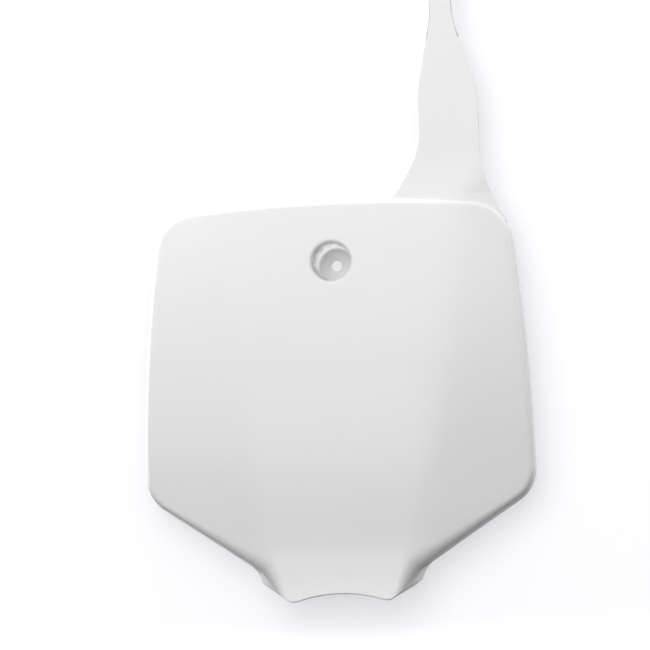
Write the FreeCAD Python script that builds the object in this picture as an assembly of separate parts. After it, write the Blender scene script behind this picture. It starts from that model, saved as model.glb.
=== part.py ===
"""Front number plate of an off-road motorbike, moulded as one thin-walled plastic piece.

Millimetres. +Z is up, +X is to the right of someone who faces the plate, and the front faces -Y.
The origin is the centre of the bolt hole, on the seat at the back of the bolt cup.
"""

import FreeCAD
import Part

import math
import os

Vector = FreeCAD.Vector

# Sheet
WALL = 2.8
EDGE_RADIUS = 4.5

# Front face: a crowned panel, two wings that sweep back and a lip that kicks forward at the foot
CROWN_RADIUS = 800.0
CROWN_APEX_Z = -84.0
WING_SWEEP_DEG = 9.0
CREASE_HALF_WIDTH_TOP = 73.0
CREASE_HALF_WIDTH_LOW = 48.9
CREASE_SOFTNESS = 13.0
LIP_START_Z = -163.0
LIP_RADIUS = 125.0

# Outline of the rim, seen from the front
TOP_Z = 38.5
FOOT_Z = -202.4
PLATE_WIDTH = 235.4
WIDEST_Z = -124.0
TOP_ARC_RADIUS = 1000.0
SIDE_ARC_RADIUS = 1040.0
TOP_CORNER_RADIUS = 26.0
LOW_CORNER_RADIUS = 24.0
SLANT_DEG = 34.0
SLANT_HEIGHT_AT_SIDE = -138.6

# Neck below the slants, measured at the front face
NECK_HALF_WIDTH = 35.8
NECK_RISE = 11.0
NECK_LEAN_DEG = 12.0
NECK_RADIUS = 24.0
NECK_REAR_RADIUS = 9.0

# Edge wall behind the face
RIM_DEPTH = 10.0
FOOT_RIM_DEPTH = 13.0
SIDE_DRAFT_DEG = 6.0
SLANT_DRAFT_DEG = 10.0
NECK_FLARE_DEG = 40.0

# Foot: an arch between two rounded toes, and the neck's bottom edges that climb outwards
ARCH_RADIUS = 82.0
TOE_HALF_WIDTH = 27.8
TOE_RADIUS = 7.0
FOOT_CLIMB_DEG = 39.0
FOOT_CLIMB_LENGTH = 28.0
FOOT_CUT_DEG = 12.0

# Bolt cup
BOLT_HOLE_RADIUS = 3.3
CUP_FLOOR = 3.0
CUP_DEPTH = 28.0
CUP_RADIUS = 11.7
CUP_DRAFT_DEG = 0.5
CUP_WALL = 2.6
CUP_LIP_RADIUS = 2.0
CUP_FLOOR_RADIUS = 2.5
GUSSET_COUNT = 4
GUSSET_REACH = 13.0
GUSSET_THICKNESS = 2.2

# Strap that loops over the handlebar and buttons on behind the plate
STRAP_THICKNESS = 2.6
STRAP_SETBACK = 5.0
STRAP_LEAN_RISE = 38.0
STRAP_LEAN_RADIUS = 215.0
STRAP_LENGTH = 225.0
STRAP_BODY_X = 72.3
STRAP_BODY_WIDTH = 36.6
STRAP_TAIL_X = 69.5
STRAP_TAIL_WIDTH = 13.6
STRAP_BODY_RISE = 28.0
STRAP_TAPER_RISE = 64.0
STRAP_TAIL_RISE = 108.5
STRAP_ROOT_X = 38.0
STRAP_SHOULDER_DEG = 62.5
STRAP_BEND_RADIUS = 65.0
STRAP_ROOT_RADIUS = 10.0
STRAP_RAMP_DEG = 45.0
STRAP_HOLE_RADIUS = 3.25
STRAP_HOLE_COUNT = 3
STRAP_HOLE_PITCH = 14.0
STRAP_HOLE_EDGE = 9.0

# Button that the strap's holes snap over
BUTTON_X = -41.8
BUTTON_DROP = 4.9
BUTTON_STEM_RADIUS = 3.0
BUTTON_HEAD_RADIUS = 6.0
BUTTON_HEAD_THICKNESS = 2.6
BUTTON_PLAY = 0.4

# Working planes in front of the whole face and behind the whole rim
FRONT_Y = -45.0
REAR_Y = -4.0
FAR = 120.0

FACE_Y_AT_CUP = -(CUP_DEPTH + CUP_FLOOR)


def tan(degrees):
    return math.tan(math.radians(degrees))


def direction(degrees):
    """A unit step in the front view, turned anticlockwise from +X."""
    return Vector(math.cos(math.radians(degrees)), 0, math.sin(math.radians(degrees)))


def ramp(distance, softness):
    """Nought before a bend and the distance after it, with an even change of slope over the bend."""
    if distance <= -softness:
        return 0.0
    if distance >= softness:
        return distance
    t = (distance + softness) / (2 * softness)
    return 2 * softness * (t ** 3 - t ** 4 / 2)


def crease_half_width(z):
    """Half the width of the middle panel at a height: it narrows from the top edge to the lip."""
    share = (TOP_Z - z) / (TOP_Z - LIP_START_Z)
    return CREASE_HALF_WIDTH_TOP + share * (CREASE_HALF_WIDTH_LOW - CREASE_HALF_WIDTH_TOP)


def face_y(x, z):
    """Y of the front face."""
    crown = ((z - CROWN_APEX_Z) ** 2 - CROWN_APEX_Z ** 2) / (2 * CROWN_RADIUS)
    wing = tan(WING_SWEEP_DEG) * ramp(abs(x) - crease_half_width(z), CREASE_SOFTNESS)
    lip = max(0.0, LIP_START_Z - z) ** 2 / (2 * LIP_RADIUS)
    return FACE_Y_AT_CUP + crown + wing - lip


def rim_y(x, z):
    """Y of the rim at the back of the edge wall, which gets deeper from the lip's start to the foot."""
    share = min(1.0, max(0.0, LIP_START_Z - z) / (LIP_START_Z - FOOT_Z))
    ease = share * share * (3 - 2 * share)
    return face_y(x, z) + RIM_DEPTH + ease * (FOOT_RIM_DEPTH - RIM_DEPTH)


def spread(low, high, count):
    return [low + (high - low) * i / (count - 1) for i in range(count)]


def columns_at(z):
    """Stations across the plate at a height, closer together over the two creases."""
    crease = crease_half_width(z)
    side = spread(crease - CREASE_SOFTNESS, crease + CREASE_SOFTNESS, 5)
    right = spread(0, crease - CREASE_SOFTNESS, 5)[1:4] + side
    right += spread(crease + CREASE_SOFTNESS, PLATE_WIDTH / 2 + 25, 5)[1:]
    return [-x for x in reversed(right)] + [0.0] + right


def behind(height):
    """Everything behind the smooth surface y = height(x, z), which is larger than the pan all round."""
    rows = spread(FOOT_Z - 25, LIP_START_Z, 6) + spread(LIP_START_Z, TOP_Z + 25, 9)[1:]
    return behind_poles([[Vector(x, height(x, z), z) for x in columns_at(z)] for z in rows])


def behind_poles(poles):
    """Everything behind the smooth surface that a grid of control points draws."""
    knots = [list(range(len(line) - 2)) for line in (poles, poles[0])]
    mults = [[4] + [1] * (len(k) - 2) + [4] for k in knots]
    surface = Part.BSplineSurface()
    surface.buildFromPolesMultsKnots(poles, mults[0], mults[1], knots[0], knots[1], False, False, 3, 3)
    return surface.toShape().extrude(Vector(0, FAR, 0))


def meet(centre_a, radius_a, centre_b, radius_b):
    """The right-hand crossing of two circles in the front view."""
    gap = centre_b - centre_a
    along = (gap.Length ** 2 + radius_a ** 2 - radius_b ** 2) / (2 * gap.Length)
    across = math.sqrt(radius_a ** 2 - along ** 2)
    unit = Vector(gap.x / gap.Length, 0, gap.z / gap.Length)
    found = [centre_a + unit * along + Vector(-unit.z, 0, unit.x) * (side * across) for side in (1, -1)]
    return max(found, key=lambda p: p.x)


def cross_lines(point_a, way_a, point_b, way_b):
    """Where two lines in the front view cross."""
    gap = point_b - point_a
    along = (gap.x * way_b.z - gap.z * way_b.x) / (way_a.x * way_b.z - way_a.z * way_b.x)
    return point_a + way_a * along


def toward(start, end, length):
    """The point at that length from start on the way to end."""
    return start + (end - start).normalize() * length


def bulge(centre, start, end, radius):
    """The middle of the shorter arc from start to end round a centre."""
    return centre + ((start - centre) + (end - centre)).normalize() * radius


def mirrored(point):
    return Vector(-point.x, point.y, point.z)


def closed_wire(chain, y):
    """Lines and three-point arcs, given as (start, middle or None, end) in the front view, at a depth."""
    depth = Vector(0, y, 0)
    edges = []
    for start, middle, end in chain:
        if middle is None:
            edges.append(Part.LineSegment(start + depth, end + depth).toShape())
        else:
            edges.append(Part.Arc(start + depth, middle + depth, end + depth).toShape())
    return Part.Wire(edges)


def rounded(corners):
    """A closed polygon of (x, z, radius) corners as lines and tangent arcs."""
    points = [Vector(x, 0, z) for x, z, radius in corners]
    cuts = []
    for i, point in enumerate(points):
        back = (points[i - 1] - point).normalize()
        ahead = (points[(i + 1) % len(points)] - point).normalize()
        radius = corners[i][2]
        half = back.getAngle(ahead) / 2
        reach = radius / math.tan(half)
        inward = (back + ahead).normalize()
        middle = point + inward * (radius / math.sin(half) - radius)
        cuts.append((point + back * reach, middle, point + ahead * reach))
    chain = []
    for i, (start, middle, end) in enumerate(cuts):
        if corners[i][2] > 0:
            chain.append((start, middle, end))
        chain.append((end, None, cuts[(i + 1) % len(cuts)][0]))
    return chain


def top_corner():
    """Centre of the arc at the plate's top right corner."""
    top_centre = Vector(0, 0, TOP_Z - TOP_ARC_RADIUS)
    side_centre = Vector(PLATE_WIDTH / 2 - SIDE_ARC_RADIUS, 0, WIDEST_Z)
    return meet(top_centre, TOP_ARC_RADIUS - TOP_CORNER_RADIUS, side_centre, SIDE_ARC_RADIUS - TOP_CORNER_RADIUS)


def outline(y, inset):
    """The edge wall's skin at a depth, or a skin that lies inset within it, as a closed wire."""
    rim_level = rim_y(PLATE_WIDTH / 2, CROWN_APEX_Z)
    grow = (y - rim_level) * tan(SIDE_DRAFT_DEG) - inset
    slant_grow = (y - rim_level) * tan(SLANT_DRAFT_DEG) - inset
    face_level = face_y(0, FOOT_Z)
    neck_grow = (y - face_level) * tan(NECK_FLARE_DEG) - inset / math.cos(math.radians(NECK_FLARE_DEG))
    share = (y - face_level) / (REAR_Y - face_level)
    neck_radius = NECK_RADIUS + share * (NECK_REAR_RADIUS - NECK_RADIUS) + inset

    # Top arc, corner arc and side arc are tangent to each other
    top_centre = Vector(0, 0, TOP_Z - TOP_ARC_RADIUS)
    side_centre = Vector(PLATE_WIDTH / 2 - SIDE_ARC_RADIUS, 0, WIDEST_Z)
    corner = top_corner()
    corner_start = toward(top_centre, corner, TOP_ARC_RADIUS + grow)
    corner_end = toward(side_centre, corner, SIDE_ARC_RADIUS + grow)

    # The low corner touches the side arc and the straight slant
    slant_way = direction(180 + SLANT_DEG)
    slant_out = direction(SLANT_DEG - 90)
    slant_point = Vector(PLATE_WIDTH / 2, 0, SLANT_HEIGHT_AT_SIDE) + slant_out * slant_grow
    low_radius = LOW_CORNER_RADIUS + grow
    base = slant_point - slant_out * low_radius - side_centre
    reach = SIDE_ARC_RADIUS + grow - low_radius
    half_b = base.dot(slant_way)
    root = math.sqrt(half_b ** 2 - base.dot(base) + reach ** 2)
    low_corner = side_centre + base + slant_way * min(root - half_b, -root - half_b, key=abs)
    low_start = toward(side_centre, low_corner, SIDE_ARC_RADIUS + grow)
    low_end = low_corner + slant_out * low_radius

    # The neck's side leans inwards as it goes down, and an inside arc joins it to the slant
    neck_way = direction(270 - NECK_LEAN_DEG)
    neck_out = direction(-NECK_LEAN_DEG)
    neck_point = Vector(NECK_HALF_WIDTH, 0, FOOT_Z + NECK_RISE) + neck_out * neck_grow
    neck_corner = cross_lines(
        slant_point + slant_out * neck_radius, slant_way, neck_point + neck_out * neck_radius, neck_way)
    neck_start = neck_corner - slant_out * neck_radius
    neck_end = neck_corner - neck_out * neck_radius
    foot = cross_lines(neck_end, neck_way, Vector(0, 0, FOOT_Z - 20), Vector(1, 0, 0))

    right = [
        (corner_start, bulge(corner, corner_start, corner_end, TOP_CORNER_RADIUS + grow), corner_end),
        (corner_end, bulge(side_centre, corner_end, low_start, SIDE_ARC_RADIUS + grow), low_start),
        (low_start, bulge(low_corner, low_start, low_end, low_radius), low_end),
        (low_end, None, neck_start),
        (neck_start, bulge(neck_corner, neck_start, neck_end, neck_radius), neck_end),
        (neck_end, None, foot),
    ]
    left = [(mirrored(end), middle and mirrored(middle), mirrored(start)) for start, middle, end in reversed(right)]
    top = (mirrored(corner_start), Vector(0, 0, TOP_Z + grow), corner_start)
    return closed_wire([top] + right + [(foot, None, mirrored(foot))] + left, y)


def within(inset):
    """The space inside the edge wall's drafted skin, open-ended at the front and the back."""
    return Part.makeLoft([outline(FRONT_Y, inset), outline(REAR_Y, inset)], True, True)


def round_front(solid, radius):
    """Round the edge between the face and the edge wall, apart from the piece across the foot."""
    front = max(solid.Faces, key=lambda f: f.Area if f.CenterOfMass.y < rim_y(0, CROWN_APEX_Z) else 0)
    edges = [e for e in front.Edges if e.BoundBox.ZMax > FOOT_Z - 19]
    smooth = solid.makeFillet(radius, edges)
    smooth.fix(1e-4, 1e-4, 1e-4)
    return smooth


def pan():
    """The shell: face and edge wall of an even thickness, open at the back."""
    block = round_front(within(0).common(behind(face_y)).Solids[0], EDGE_RADIUS)
    hollow = within(WALL).common(behind(lambda x, z: face_y(x, z) + WALL)).Solids[0]
    return block.cut(behind(rim_y)).cut(hollow)


def foot_cutter():
    """Everything below the arch, the toes and the neck's climbing bottom edges."""
    toe = Vector(TOE_HALF_WIDTH, 0, FOOT_Z + TOE_RADIUS)
    drop = math.sqrt((ARCH_RADIUS + TOE_RADIUS) ** 2 - TOE_HALF_WIDTH ** 2)
    arch_centre = Vector(0, 0, toe.z - drop)
    arch_end = toward(arch_centre, toe, ARCH_RADIUS)
    toe_end = toe + direction(FOOT_CLIMB_DEG - 90) * TOE_RADIUS
    far = toe_end + direction(FOOT_CLIMB_DEG) * FOOT_CLIMB_LENGTH
    deep = Vector(far.x, 0, FOOT_Z - FAR)
    right = [(arch_end, bulge(toe, arch_end, toe_end, TOE_RADIUS), toe_end), (toe_end, None, far), (far, None, deep)]
    left = [(mirrored(end), middle and mirrored(middle), mirrored(start)) for start, middle, end in reversed(right)]
    arch = (mirrored(arch_end), arch_centre + Vector(0, 0, ARCH_RADIUS), arch_end)
    level = face_y(0, FOOT_Z)
    wire = closed_wire([arch] + right + [(deep, None, mirrored(deep))] + left, level)
    back = Vector(0, FAR, -FAR * tan(FOOT_CUT_DEG))
    profile = Part.Face(wire)
    profile.translate(back * -0.5)
    return profile.extrude(back)


def edge_dip():
    """How far the face's rounded edge has gone back where it is as steep as the strap's ramp."""
    return EDGE_RADIUS * (1 - math.cos(math.radians(STRAP_RAMP_DEG)))


def strap_y(x, z):
    """Y of the strap's front: a plane whose foot leans forward but stays behind the face's rounded edge."""
    plane = face_y(STRAP_BODY_X, TOP_Z) + STRAP_SETBACK
    lean = max(0.0, TOP_Z + STRAP_LEAN_RISE - z) ** 2 / (2 * STRAP_LEAN_RADIUS)
    return max(plane - lean, face_y(x, min(z, TOP_Z)) + edge_dip())


def strap_outline():
    """The strap from the front: its wide root leaves the top edge on one side and the corner's arc on the other."""
    tip = TOP_Z + STRAP_LENGTH
    body_left = STRAP_BODY_X - STRAP_BODY_WIDTH / 2
    body_right = STRAP_BODY_X + STRAP_BODY_WIDTH / 2
    tail_left = STRAP_TAIL_X - STRAP_TAIL_WIDTH / 2
    tail_right = STRAP_TAIL_X + STRAP_TAIL_WIDTH / 2
    touch = top_corner() + direction(90 - STRAP_SHOULDER_DEG) * (TOP_CORNER_RADIUS + 0.4)
    shoulder_z = touch.z + (touch.x - body_right) * tan(STRAP_SHOULDER_DEG)
    taper_z = TOP_Z + STRAP_TAPER_RISE
    tail_z = TOP_Z + STRAP_TAIL_RISE
    inside_z = TOP_Z - TOP_CORNER_RADIUS
    round_tip = STRAP_TAIL_WIDTH / 2 - 0.01
    return rounded([
        (STRAP_ROOT_X - 30, inside_z, 0),
        (STRAP_ROOT_X - 30, TOP_Z - 1.5, 0),
        (STRAP_ROOT_X, TOP_Z - 0.5, STRAP_ROOT_RADIUS),
        (body_left, TOP_Z + STRAP_BODY_RISE, STRAP_BEND_RADIUS * 0.7),
        (body_left, taper_z, STRAP_BEND_RADIUS),
        (tail_left, tail_z, STRAP_BEND_RADIUS),
        (tail_left, tip, round_tip),
        (tail_right, tip, round_tip),
        (tail_right, tail_z, STRAP_BEND_RADIUS),
        (body_right, taper_z, STRAP_BEND_RADIUS),
        (body_right, shoulder_z, STRAP_BEND_RADIUS),
        (touch.x, touch.z, 0),
        (touch.x - 8, inside_z, 0),
    ])


def strap():
    """The strap, the ramp that carries the face's rounded edge down to it, and its row of holes."""
    tip = TOP_Z + STRAP_LENGTH
    rows = spread(TOP_Z - 40, TOP_Z + STRAP_LEAN_RISE + 10, 9) + [tip + 20]
    columns = spread(-10, PLATE_WIDTH / 2 + 10, 8)
    front = [[Vector(x, strap_y(x, z), z) for x in columns] for z in rows]
    back = [[p + Vector(0, STRAP_THICKNESS, 0) for p in line] for line in front]
    column = Part.Face(closed_wire(strap_outline(), FRONT_Y)).extrude(Vector(0, -FRONT_Y, 0))

    # The ramp's skin is the edge wall's, opened out from where the rounded edge is as steep as the ramp
    start = face_y(STRAP_BODY_X, TOP_Z) + edge_dip()
    edge_inset = EDGE_RADIUS * (1 - math.sin(math.radians(STRAP_RAMP_DEG)))
    levels = (start - EDGE_RADIUS, start + STRAP_SETBACK)
    skins = [outline(y, edge_inset - (y - start) / tan(STRAP_RAMP_DEG)) for y in levels]
    slope = Part.makeLoft(skins, True, True).common(behind(lambda x, z: face_y(x, z) + edge_dip()))

    body = column.common(behind_poles(front)).fuse(column.common(slope)).cut(behind_poles(back))
    for i in range(STRAP_HOLE_COUNT):
        middle = Vector(STRAP_TAIL_X, FRONT_Y, tip - STRAP_HOLE_EDGE - i * STRAP_HOLE_PITCH)
        body = body.cut(Part.makeCylinder(STRAP_HOLE_RADIUS, -FRONT_Y, middle, Vector(0, 1, 0)))
    return body.cut(within(WALL / 2))


def bolt_cup():
    """The cup's outside, from the middle of the sheet to the seat, and the space cut out of it."""
    back = Vector(0, 1, 0)
    mouth_y = FACE_Y_AT_CUP - 12
    mouth_radius = CUP_RADIUS + 12 * tan(CUP_DRAFT_DEG)
    floor_radius = CUP_RADIUS - CUP_DEPTH * tan(CUP_DRAFT_DEG)
    outside = Part.makeCone(mouth_radius + CUP_WALL, floor_radius + CUP_WALL, -mouth_y, Vector(0, mouth_y, 0), back)
    outside = outside.common(behind(lambda x, z: face_y(x, z) + WALL / 2))
    inside = Part.makeCone(mouth_radius, floor_radius, -mouth_y - CUP_FLOOR, Vector(0, mouth_y, 0), back)
    floor_edge = max(inside.Edges, key=lambda e: e.CenterOfMass.y)
    inside = inside.makeFillet(CUP_FLOOR_RADIUS, [floor_edge])
    hole = Part.makeCylinder(BOLT_HOLE_RADIUS, CUP_FLOOR + 2, Vector(0, -CUP_FLOOR - 1, 0), back)
    return outside, inside.fuse(hole)


def gussets():
    """Webs between the cup and the sheet, spread evenly round the cup."""
    webs = []
    for i in range(GUSSET_COUNT):
        way = direction(45 + 360 * i / GUSSET_COUNT)
        near = way * (CUP_RADIUS + CUP_WALL / 2)
        end = way * (CUP_RADIUS + CUP_WALL + GUSSET_REACH)
        sheet_near = Vector(0, face_y(near.x, near.z) + WALL / 2, 0)
        sheet_end = Vector(0, face_y(end.x, end.z) + WALL / 2, 0)
        top = Vector(0, -CUP_DEPTH / 3, 0)
        corners = [near + sheet_near, end + sheet_end, end + sheet_end + Vector(0, WALL, 0), near + top]
        across = Vector(-way.z, 0, way.x) * GUSSET_THICKNESS
        web = Part.Face(Part.makePolygon(corners + corners[:1])).extrude(across)
        web.translate(across * -0.5)
        webs.append(web)
    return webs


def button():
    """The stem and the rounded head behind the top edge."""
    back = Vector(0, 1, 0)
    foot = Vector(BUTTON_X, 0, TOP_Z - BUTTON_DROP)
    start = face_y(foot.x, foot.z) + WALL / 2
    head_y = rim_y(BUTTON_X, TOP_Z) + STRAP_THICKNESS + BUTTON_PLAY
    stem = Part.makeCylinder(BUTTON_STEM_RADIUS, head_y - start + 1, foot + back * start, back)
    head = Part.makeCylinder(BUTTON_HEAD_RADIUS, BUTTON_HEAD_THICKNESS, foot + back * head_y, back)
    rear = max(head.Edges, key=lambda e: e.CenterOfMass.y)
    return stem.fuse(head.makeChamfer(BUTTON_HEAD_THICKNESS / 3, [rear]))


def mouth_edges(plate):
    """The edge where the bolt cup opens in the face."""
    found = []
    for edge in plate.Edges:
        box = edge.BoundBox
        off_axis = math.hypot(edge.CenterOfMass.x, edge.CenterOfMass.z)
        if box.YMax < FACE_Y_AT_CUP + WALL and box.DiagonalLength < 4 * CUP_RADIUS and off_axis < CUP_RADIUS / 2:
            found.append(edge)
    return found


def main():
    os.makedirs("parts", exist_ok=True)
    cup, cup_space = bolt_cup()
    plate = pan().fuse([cup, strap(), button()] + gussets())
    plate = plate.cut([cup_space, foot_cutter()]).removeSplitter().Solids[0]
    plate = plate.makeFillet(CUP_LIP_RADIUS, mouth_edges(plate))
    plate.exportStep("parts/number_plate.step")


main()
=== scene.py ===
"""Front number plate of an off-road motorbike: dressed model, studio stage and camera.

Metres. +Z is up, +X is to the right of someone who faces the plate, and the front faces -Y.
The origin is the centre of the bolt hole, on the seat at the back of the bolt cup.
"""

import math

import bmesh
import bpy
from mathutils import Matrix, Vector


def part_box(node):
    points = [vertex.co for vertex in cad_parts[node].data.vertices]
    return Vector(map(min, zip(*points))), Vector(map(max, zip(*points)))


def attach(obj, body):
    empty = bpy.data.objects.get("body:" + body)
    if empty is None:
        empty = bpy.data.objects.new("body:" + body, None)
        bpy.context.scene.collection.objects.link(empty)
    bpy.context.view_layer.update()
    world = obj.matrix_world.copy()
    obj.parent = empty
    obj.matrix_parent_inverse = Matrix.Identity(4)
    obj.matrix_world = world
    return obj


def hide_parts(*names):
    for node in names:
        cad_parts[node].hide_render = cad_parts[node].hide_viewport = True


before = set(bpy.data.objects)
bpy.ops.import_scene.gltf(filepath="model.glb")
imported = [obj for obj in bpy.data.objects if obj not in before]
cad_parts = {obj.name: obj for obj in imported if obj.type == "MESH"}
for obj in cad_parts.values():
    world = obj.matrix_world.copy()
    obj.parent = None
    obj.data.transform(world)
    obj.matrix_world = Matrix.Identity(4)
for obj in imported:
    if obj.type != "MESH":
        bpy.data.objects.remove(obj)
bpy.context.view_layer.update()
CAD_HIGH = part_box("number_plate")[1]

bl_info = {
    "name": "Front number plate",
    "version": (1, 0, 0),
    "blender": (4, 5, 0),
    "location": "View3D > Sidebar > Plate",
    "description": "Builds a moulded front number plate with its strap, button and bolt cup",
    "category": "Add Mesh",
}

# Front face: a crowned panel, two wings that sweep back and a lip that kicks forward at the foot
CROWN_RADIUS = 0.800
CROWN_APEX_Z = -0.084
WING_SLOPE = math.tan(math.radians(9))
CREASE_HALF_WIDTH_TOP = 0.0730
CREASE_HALF_WIDTH_LOW = 0.0489
CREASE_SOFTNESS = 0.013
LIP_START_Z = -0.163
LIP_RADIUS = 0.125

# Outline of the rim, seen from the front
TOP_Z = 0.0385
FOOT_Z = -0.2024
PLATE_WIDTH = 0.2354
WIDEST_Z = -0.124
TOP_ARC_RADIUS = 1.000
SIDE_ARC_RADIUS = 1.040
TOP_CORNER_RADIUS = 0.026
LOW_CORNER_RADIUS = 0.024
SLANT_DEG = 34
SLANT_HEIGHT_AT_SIDE = -0.1386

# Neck below the slants, measured at the front face
NECK_HALF_WIDTH = 0.0358
NECK_RISE = 0.011
NECK_LEAN_DEG = 12
NECK_RADIUS = 0.024
NECK_REAR_RADIUS = 0.015

# Edge wall behind the face
RIM_DEPTH = 0.010
FOOT_RIM_DEPTH = 0.013
SIDE_DRAFT = math.tan(math.radians(6))
SLANT_DRAFT = math.tan(math.radians(10))
NECK_FLARE_DEG = 40

# Foot: an arch between two rounded toes, and the neck's bottom edges that climb outwards
ARCH_RADIUS = 0.082
TOE_HALF_WIDTH = 0.0278
TOE_RADIUS = 0.0070
FOOT_CLIMB_DEG = 39
FOOT_CUT_SLOPE = math.tan(math.radians(12))

# Bolt cup
BOLT_HOLE_RADIUS = 0.0033
CUP_FLOOR = 0.003
CUP_DEPTH = 0.028
CUP_RADIUS = 0.0117
CUP_DRAFT = math.tan(math.radians(0.5))
CUP_WALL = 0.0026

# Strap that loops over the handlebar and buttons on behind the plate
STRAP_SETBACK = 0.0050
STRAP_LEAN_RISE = 0.038
STRAP_LEAN_RADIUS = 0.215
STRAP_BODY_X = 0.0723
STRAP_BODY_WIDTH = 0.0366
STRAP_TAIL_X = 0.0695
STRAP_TAIL_WIDTH = 0.0136
STRAP_BODY_RISE = 0.028
STRAP_TAPER_RISE = 0.064
STRAP_TAIL_RISE = 0.1085
STRAP_ROOT_X = 0.038
STRAP_SHOULDER_DEG = 62.5
STRAP_BEND_RADIUS = 0.065
STRAP_ROOT_RADIUS = 0.010
STRAP_RAMP_DEG = 45
STRAP_HOLES = 3
STRAP_HOLE_RADIUS = 0.00325
STRAP_HOLE_PITCH = 0.014
STRAP_HOLE_EDGE = 0.009
STRAP_TIP_Z = CAD_HIGH[2]

# Button that the strap's holes snap over
BUTTON_X = -0.0418
BUTTON_DROP = 0.0049
BUTTON_STEM_RADIUS = 0.003
BUTTON_HEAD_RADIUS = 0.006
BUTTON_HEAD_THICKNESS = 0.0026
BUTTON_PLAY = 0.0004

# Depths of the two outlines that the edge wall is drawn between, of the face at the cup, and of the stated outline
FRONT_Y = -0.045
REAR_Y = -0.004
FACE_Y_AT_CUP = -(CUP_DEPTH + CUP_FLOOR)
RIM_LEVEL = -0.016

# Columns along each stretch of half the outline, from the top's middle to the neck, and along half the arch
OUTLINE_COLUMNS = (54, 26, 76, 22, 34)
NECK_COLUMNS = 34
TOE_COLUMNS = 10
ARCH_COLUMNS = 26
ROUND_ROWS = 10
WALL_ROWS = 5

# Stretches of the outline along which the edge's rounding opens out and closes again
SLANT_STRETCH = 4
NECK_STRETCH = 5

# Steps of a column over the cup's flat floor, its round corner, its wall and its lip, and up its outside
FLOOR_STEPS = 3
CORNER_STEPS = 6
CUP_WALL_STEPS = 5
LIP_STEPS = 6
CUP_BACK_STEPS = 6

# Points of a front column on the cup's floor, and from the bolt hole to low on the cup's lip
CUP_FLOOR_POINTS = 6
CUP_POINTS = 16

# Distances from the plate's edge between which the strap's root is a ramp, and the ramp's steps in and out of it
RAMP_START = -0.0018
RAMP_END = 0.009
RAMP_STEP_IN = 0.0003
RAMP_STEP_OUT = 0.0005

# Rows of the strap above the ramp, and the rings of quads round its holes
EASING_ROWS = 26
UPPER_ROWS = 60
HOLE_RINGS = 5
HOLE_SIDE_STEPS = 14

# Share of the error that a search for a point takes off in each step, and the lengths of the searches
SEARCH_STEP = 0.7
CROSSING_STEPS = 40
ROUNDING_STEPS = 12
FOOT_STEPS = 30
FOOT_HALVINGS = 26
STATION_HALVINGS = 40


# Shape of the face

def eased(share):
    """A share held between 0 and 1, with a soft start and end."""
    share = min(1.0, max(0.0, share))
    return share * share * (3 - 2 * share)


def ramp(distance, softness):
    """Nought before a bend and the distance after it, with an even change of slope over the bend."""
    if distance <= -softness:
        return 0.0
    if distance >= softness:
        return distance
    t = (distance + softness) / (2 * softness)
    return 2 * softness * (t ** 3 - t ** 4 / 2)


def face_y(x, z):
    """Y of the front face."""
    share = (TOP_Z - z) / (TOP_Z - LIP_START_Z)
    crease = CREASE_HALF_WIDTH_TOP + share * (CREASE_HALF_WIDTH_LOW - CREASE_HALF_WIDTH_TOP)
    crown = ((z - CROWN_APEX_Z) ** 2 - CROWN_APEX_Z ** 2) / (2 * CROWN_RADIUS)
    wing = WING_SLOPE * ramp(abs(x) - crease, CREASE_SOFTNESS)
    lip = max(0.0, LIP_START_Z - z) ** 2 / (2 * LIP_RADIUS)
    return FACE_Y_AT_CUP + crown + wing - lip


def face_normal(x, z):
    """Unit normal of the front face, towards the viewer."""
    step = 2e-5
    along_x = (face_y(x + step, z) - face_y(x - step, z)) / (2 * step)
    along_z = (face_y(x, z + step) - face_y(x, z - step)) / (2 * step)
    return Vector((along_x, -1, along_z)).normalized()


def rim_y(x, z):
    """Y of the rim at the back of the edge wall, which gets deeper from the lip's start to the foot."""
    deeper = eased((LIP_START_Z - z) / (LIP_START_Z - FOOT_Z))
    return face_y(x, z) + RIM_DEPTH + deeper * (FOOT_RIM_DEPTH - RIM_DEPTH)


def foot_height(x):
    """Height of the foot's cut at the face's level: the arch, a toe or the climbing edge outside it."""
    toe_z = FOOT_Z + TOE_RADIUS
    arch_z = toe_z - math.sqrt((ARCH_RADIUS + TOE_RADIUS) ** 2 - TOE_HALF_WIDTH ** 2)
    climb = math.radians(FOOT_CLIMB_DEG)
    x = abs(x)
    if x < TOE_HALF_WIDTH * ARCH_RADIUS / (ARCH_RADIUS + TOE_RADIUS):
        return arch_z + math.sqrt(ARCH_RADIUS ** 2 - x ** 2)
    toe_end = TOE_HALF_WIDTH + TOE_RADIUS * math.sin(climb)
    if x < toe_end:
        return toe_z - math.sqrt(TOE_RADIUS ** 2 - (x - TOE_HALF_WIDTH) ** 2)
    return toe_z - TOE_RADIUS * math.cos(climb) + (x - toe_end) * math.tan(climb)


def above_foot(point):
    """How far a point lies above the foot's cut, which drops towards the back."""
    return point.z + (point.y - face_y(0, FOOT_Z)) * FOOT_CUT_SLOPE - foot_height(point.x)


# Shape of the edge wall

def flat(x, z):
    return Vector((x, z))


def heading(degrees):
    """A unit step in the front view, turned anticlockwise from +X."""
    return Vector((math.cos(math.radians(degrees)), math.sin(math.radians(degrees))))


def circles_meet(centre_a, radius_a, centre_b, radius_b):
    """The right-hand crossing of two circles in the front view."""
    gap = centre_b - centre_a
    along = (gap.length ** 2 + radius_a ** 2 - radius_b ** 2) / (2 * gap.length)
    across = math.sqrt(radius_a ** 2 - along ** 2)
    unit = gap.normalized()
    found = [centre_a + unit * along + flat(-unit.y, unit.x) * (side * across) for side in (1, -1)]
    return max(found, key=lambda p: p.x)


def lines_meet(point_a, way_a, point_b, way_b):
    """Where two lines in the front view cross."""
    gap = point_b - point_a
    along = (gap.x * way_b.y - gap.y * way_b.x) / (way_a.x * way_b.y - way_a.y * way_b.x)
    return point_a + way_a * along


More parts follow.
